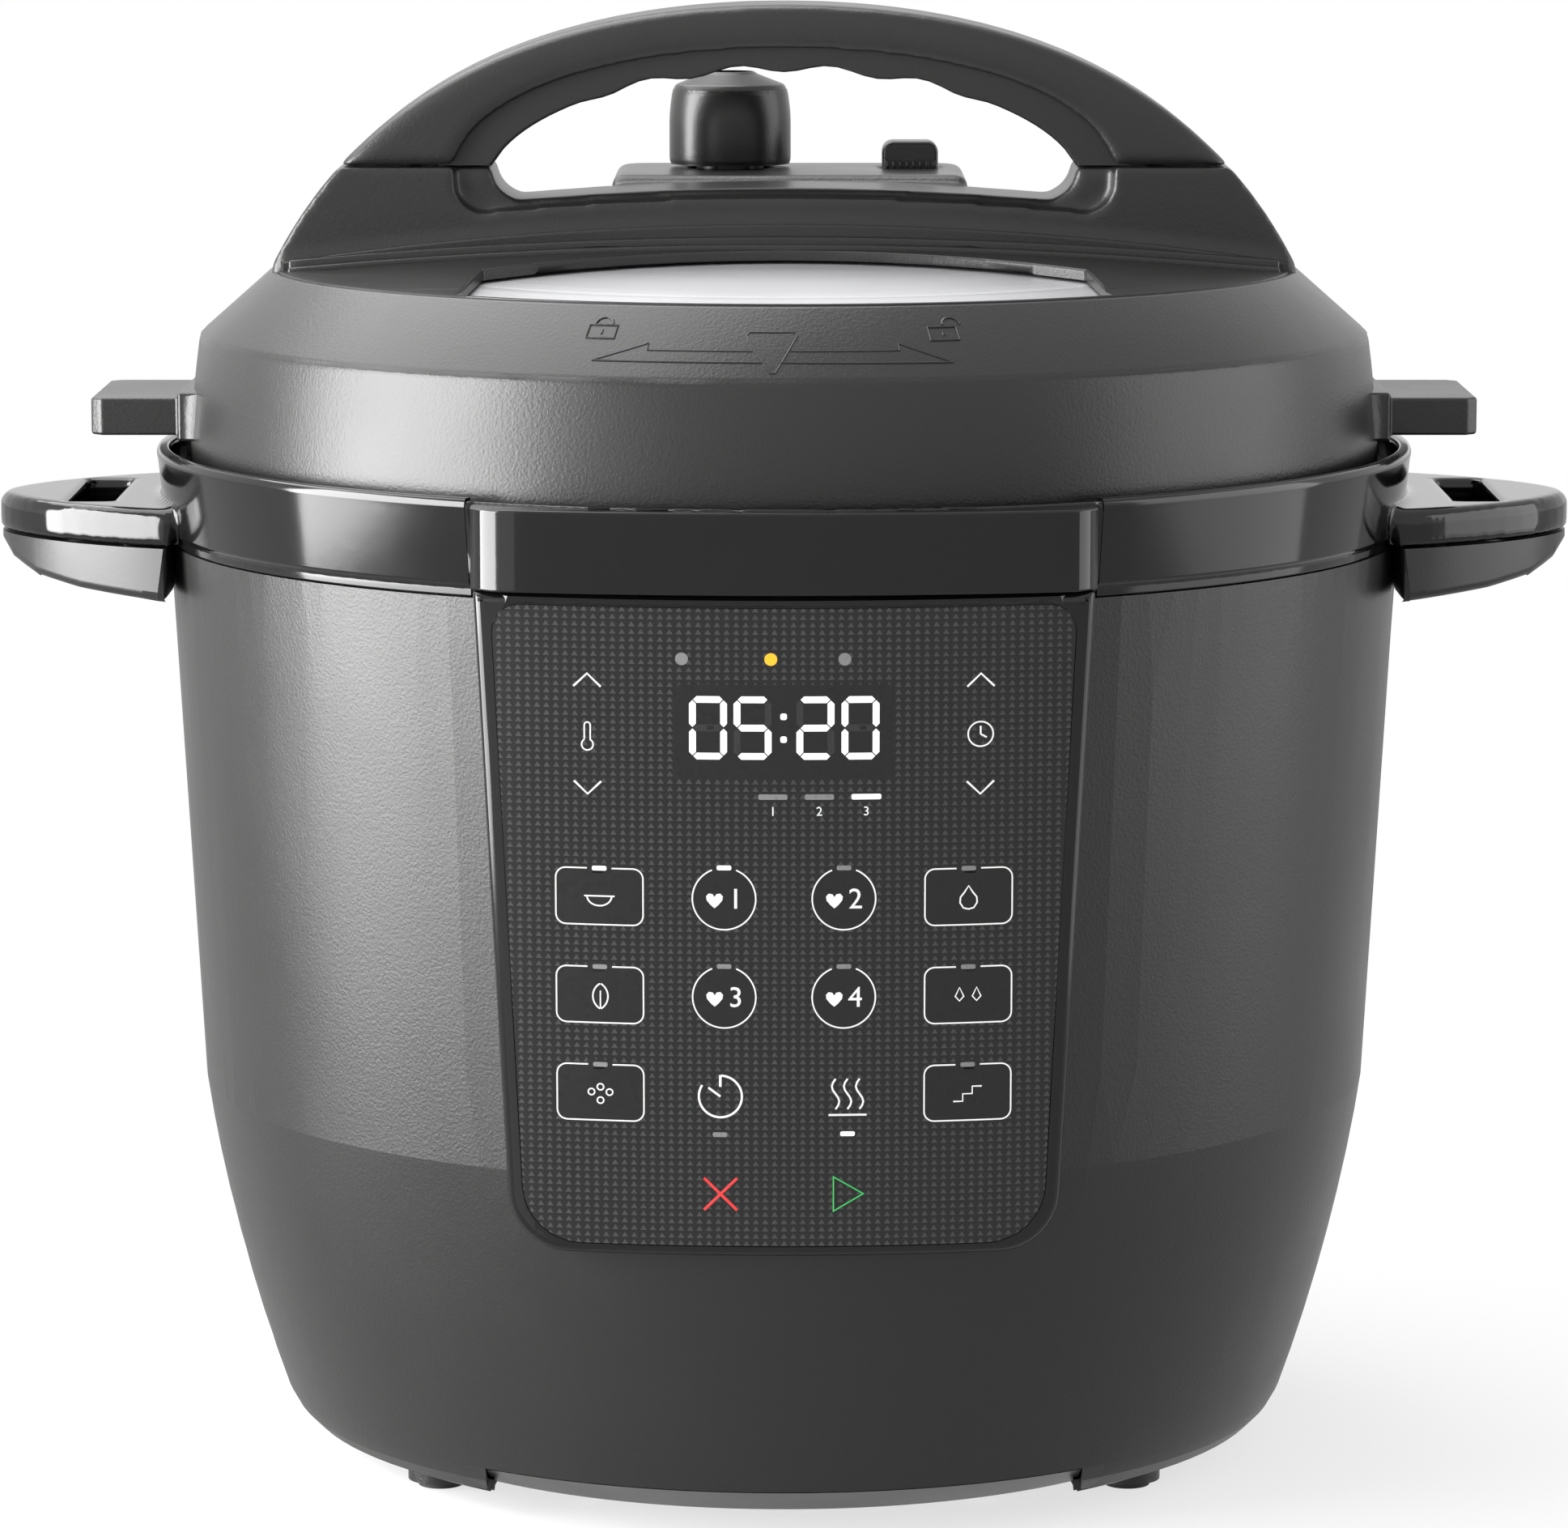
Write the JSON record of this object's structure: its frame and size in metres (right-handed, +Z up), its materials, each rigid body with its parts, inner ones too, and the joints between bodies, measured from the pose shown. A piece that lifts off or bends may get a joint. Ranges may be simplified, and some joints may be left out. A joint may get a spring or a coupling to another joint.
{
  "type": "electric pressure cooker",
  "caption": "Electric pressure cooker with a turn-and-lift bayonet lid, lift-out inner pot, steam release, sprung float and lock parts, touch panel and rear condensation cup.",
  "frame": {"origin": "on the pot's vertical axis, in the plane that the feet stand on", "axes": "+Z up, front panel towards -Y, +X through the side handle on the right as seen from the front"},
  "size_m": [0.3398, 0.273, 0.3115],
  "materials": {
    "body_black": "fine spark-eroded texture, semi-matte",
    "lid_black": "fine spark-eroded texture, semi-matte",
    "gloss_black": "polished",
    "grip_black": "satin",
    "knob_black": "satin gloss",
    "panel_film": "printed film with a fine pattern",
    "display": "dark window",
    "circuit_board": "solder resist",
    "components": "moulded",
    "switch_caps": "moulded",
    "heatproof_plastic": "moulded",
    "wire_red": "silicone jacket",
    "drawn_steel": "drawn and brushed stainless",
    "polished_steel": "polished stainless",
    "small_steel": "turned steel",
    "cast_aluminium": "machined face",
    "silicone": "translucent silicone",
    "rubber_black": "moulded",
    "cup_clear": "clear moulded"
  },
  "bodies": {
    "base": {"outer_housing": "body_black", "collar_ring": "gloss_black", "left_grip": "grip_black", "right_grip": "grip_black", "header_strip": "gloss_black", "panel_bezel": "gloss_black", "panel_overlay": "panel_film", "display_module": "display", "control_board": "circuit_board", "key_switches": "switch_caps", "panel_screws": "small_steel", "outer_pot": "drawn_steel", "heating_plate": "cast_aluminium", "sensor_holder": "small_steel", "heat_shield": "drawn_steel", "power_board": "circuit_board", "board_parts": "components", "thermal_fuse": "heatproof_plastic", "pressure_switch": "heatproof_plastic", "wiring": "wire_red", "power_inlet": "grip_black", "base_plate": "body_black", "rubber_feet": "rubber_black", "base_screws": "small_steel", "grip_screws": "small_steel"},
    "sensor": {"temperature_sensor": "small_steel", "sensor_spring": "small_steel"},
    "cup": {"condensation_cup": "cup_clear"},
    "inner_pot": {"inner_pot": "drawn_steel"},
    "sealing_ring": {"sealing_ring": "silicone"},
    "lid": {"gasket_rack": "small_steel", "steel_lid": "polished_steel", "lid_cover": "lid_black", "lid_handle": "lid_black", "handle_underside": "lid_black", "handle_screws": "small_steel", "lid_screws": "small_steel", "steam_pipe": "small_steel", "pipe_nut": "small_steel", "steam_shield": "small_steel", "lever_pin": "small_steel"},
    "steam_knob": {"steam_knob": "knob_black"},
    "release_switch": {"release_switch": "knob_black"},
    "release_lever": {"release_lever": "small_steel"},
    "float_valve": {"float_valve": "small_steel", "float_seal": "silicone"},
    "lock_pin": {"lock_pin": "small_steel", "lock_spring": "small_steel"}
  },
  "joints": [
    {"name": "sensor_press", "type": "slide", "parent": "base", "child": "sensor", "axis": [0, 0, -1], "range_m": [0, 0.002], "stiffness_N_per_m": 300, "springref_m": -0.003, "deforming": ["sensor_spring"]},
    {"name": "cup_slide", "type": "slide", "parent": "base", "child": "cup", "axis": [0, 1, 0], "range_m": [0, 0.05]},
    {"name": "inner_pot_lift", "type": "slide", "parent": "base", "child": "inner_pot", "axis": [0, 0, 1], "range_m": [0, 0.18]},
    {"name": "lid_lift", "type": "slide", "parent": "inner_pot", "child": "sealing_ring", "axis": [0, 0, 1], "range_m": [0, 0.15]},
    {"name": "lid_turn", "type": "hinge", "parent": "sealing_ring", "child": "lid", "pos_m": [0, 0, 0.21], "axis": [0, 0, 1], "range_deg": [0, 30]},
    {"name": "switch_press", "type": "slide", "parent": "lid", "child": "release_switch", "axis": [0, 0, -1], "range_m": [0, 0.003], "stiffness_N_per_m": 150, "springref_m": -0.004},
    {"name": "lever_rock", "type": "hinge", "parent": "lid", "child": "release_lever", "pos_m": [0.008, 0.048, 0.2648], "axis": [0, 1, 0], "range_deg": [0, 8.7]},
    {"name": "knob_lift", "type": "slide", "parent": "lid", "child": "steam_knob", "axis": [0, 0, 1], "range_m": [0, 0.0031]},
    {"name": "float_rise", "type": "slide", "parent": "lid", "child": "float_valve", "axis": [0, 0, 1], "range_m": [0, 0.0045]},
    {"name": "lock_push", "type": "slide", "parent": "lid", "child": "lock_pin", "axis": [0, 0, 1], "range_m": [0, 0.004], "stiffness_N_per_m": 60, "springref_m": -0.003, "deforming": ["lock_spring"]}
  ],
  "couplings": [
    {"joint": "lever_rock", "follows": "switch_press", "rad_per_m": 50},
    {"joint": "knob_lift", "follows": "switch_press", "ratio": 1}
  ]
}
